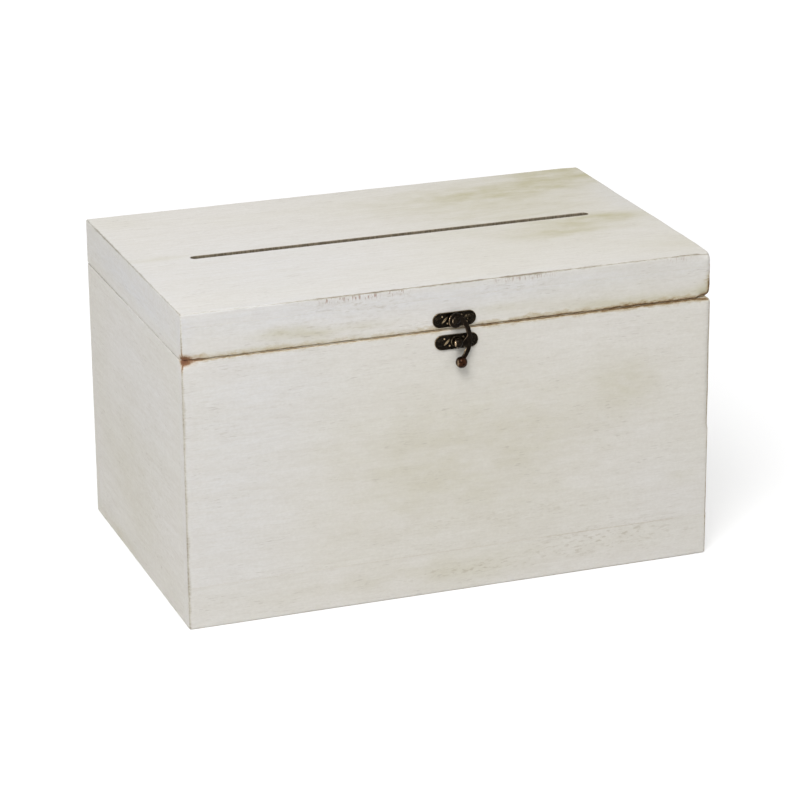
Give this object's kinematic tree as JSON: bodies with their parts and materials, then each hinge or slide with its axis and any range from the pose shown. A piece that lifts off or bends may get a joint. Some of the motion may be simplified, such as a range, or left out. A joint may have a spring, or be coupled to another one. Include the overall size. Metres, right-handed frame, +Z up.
{
  "type": "wedding card box",
  "caption": "Whitewashed wooden card box with a hinged lid, a long posting slot in the lid, a swing-hook latch in front and stop hinges at the back.",
  "frame": {"origin": "under the middle of the base, on the surface that the box stands on", "axes": "+Z up, +X along the box's width to the right seen from the latch side, -Y out of the front face with the latch, +Y out of the back with the hinges"},
  "size_m": [0.33, 0.2212, 0.193],
  "materials": {
    "whitewashed_wood": "whitewashed light wood, matt, grain showing, rubbed through to brown on the edges",
    "base_board": "thin pale board, matt",
    "antique_bronze": "antique bronze, nearly black, rubbed bright on raised edges",
    "worn_bronze": "antique bronze, reddish brown where hands rub it"
  },
  "bodies": {
    "box": {"front_board_lower": "whitewashed_wood", "front_board_upper": "whitewashed_wood", "back_panel": "whitewashed_wood", "left_panel": "whitewashed_wood", "right_panel": "whitewashed_wood", "base_panel": "base_board", "catch_plate": "antique_bronze", "catch_stud": "worn_bronze", "catch_nails": "antique_bronze", "hinge_left_body_leaf": "antique_bronze", "hinge_left_pin": "worn_bronze", "hinge_left_body_nails": "antique_bronze", "hinge_right_body_leaf": "antique_bronze", "hinge_right_pin": "worn_bronze", "hinge_right_body_nails": "antique_bronze"},
    "lid": {"lid_top": "whitewashed_wood", "lid_front_rail": "whitewashed_wood", "lid_back_rail": "whitewashed_wood", "lid_left_rail": "whitewashed_wood", "lid_right_rail": "whitewashed_wood", "latch_plate": "antique_bronze", "latch_rivet": "worn_bronze", "latch_nails": "antique_bronze", "hinge_left_lid_leaf": "antique_bronze", "hinge_left_lid_nails": "antique_bronze", "hinge_right_lid_leaf": "antique_bronze", "hinge_right_lid_nails": "antique_bronze"},
    "latch_hook": {"latch_hook": "worn_bronze"}
  },
  "joints": [
    {"name": "lid_hinge", "type": "hinge", "parent": "box", "child": "lid", "pos_m": [0, 0.1043, 0.165], "axis": [-1, 0, 0], "range_deg": [0, 105]},
    {"name": "latch_swing", "type": "hinge", "parent": "lid", "child": "latch_hook", "pos_m": [0, -0.1056, 0.171], "axis": [0, -1, 0], "range_deg": [0, 300]}
  ]
}
